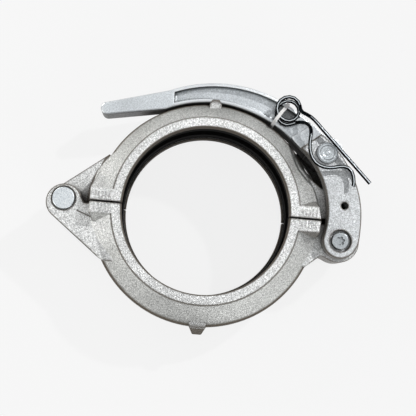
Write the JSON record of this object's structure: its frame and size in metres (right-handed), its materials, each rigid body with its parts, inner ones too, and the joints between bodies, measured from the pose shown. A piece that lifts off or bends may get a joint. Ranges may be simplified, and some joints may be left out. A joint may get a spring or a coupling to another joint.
{
  "type": "pipe clamp",
  "caption": "Quick release pipe clamp: hinged cast halves round a rubber seal, closed by a lever on a swinging link, with a tied safety clip.",
  "frame": {"origin": "on the pipe's axis, half way along the clamp's width", "axes": "+Z along the pipe's axis, out of the face with the pin heads; +X from the hinge towards the latch along the split; +Y towards the lever"},
  "size_m": [0.271, 0.217, 0.06],
  "materials": {
    "cast_steel": "fine shot-blasted casting, light grey zinc",
    "forged_lever": "satin bright zinc, slightly blue",
    "zinc_steel": "bright zinc",
    "seal_rubber": "matt black moulded rubber",
    "nylon": "milky nylon"
  },
  "bodies": {
    "lower_half": {"lower_half_shell": "cast_steel", "rubber_seal": "seal_rubber", "hinge_pin": "zinc_steel", "hinge_pin_washer": "zinc_steel"},
    "upper_half": {"upper_half_shell": "cast_steel"},
    "link": {"latch_link": "cast_steel", "link_bolt": "zinc_steel", "link_bolt_nut": "zinc_steel", "lever_pin": "zinc_steel", "lever_pin_washer": "zinc_steel"},
    "lever": {"lever_handle": "forged_lever", "cable_tie": "nylon"},
    "clip": {"safety_clip": "zinc_steel"}
  },
  "joints": [
    {"name": "link_swing", "type": "hinge", "parent": "lower_half", "child": "link", "pos_m": [0.11488, -0.01533, 0], "axis": [0, 0, 1], "range_deg": [-180, 0]},
    {"name": "lever_swing", "type": "hinge", "parent": "link", "child": "lever", "pos_m": [0.09883, 0.05822, 0], "axis": [0, 0, 1], "range_deg": [-90, 0]},
    {"name": "upper_half_open", "type": "hinge", "parent": "lower_half", "child": "upper_half", "pos_m": [-0.1194, 0.001, 0], "axis": [0, 0, 1], "range_deg": [0, 50]},
    {"name": "clip_swivel", "type": "hinge", "parent": "lever", "child": "clip", "pos_m": [0.06363, 0.09363, 0], "axis": [0, 0, 1], "range_deg": [-18, 6]}
  ],
  "couplings": [
    {"joint": "lever_swing", "follows": "link_swing", "ratio": 0.5},
    {"joint": "upper_half_open", "follows": "link_swing", "ratio": -0.2777}
  ]
}
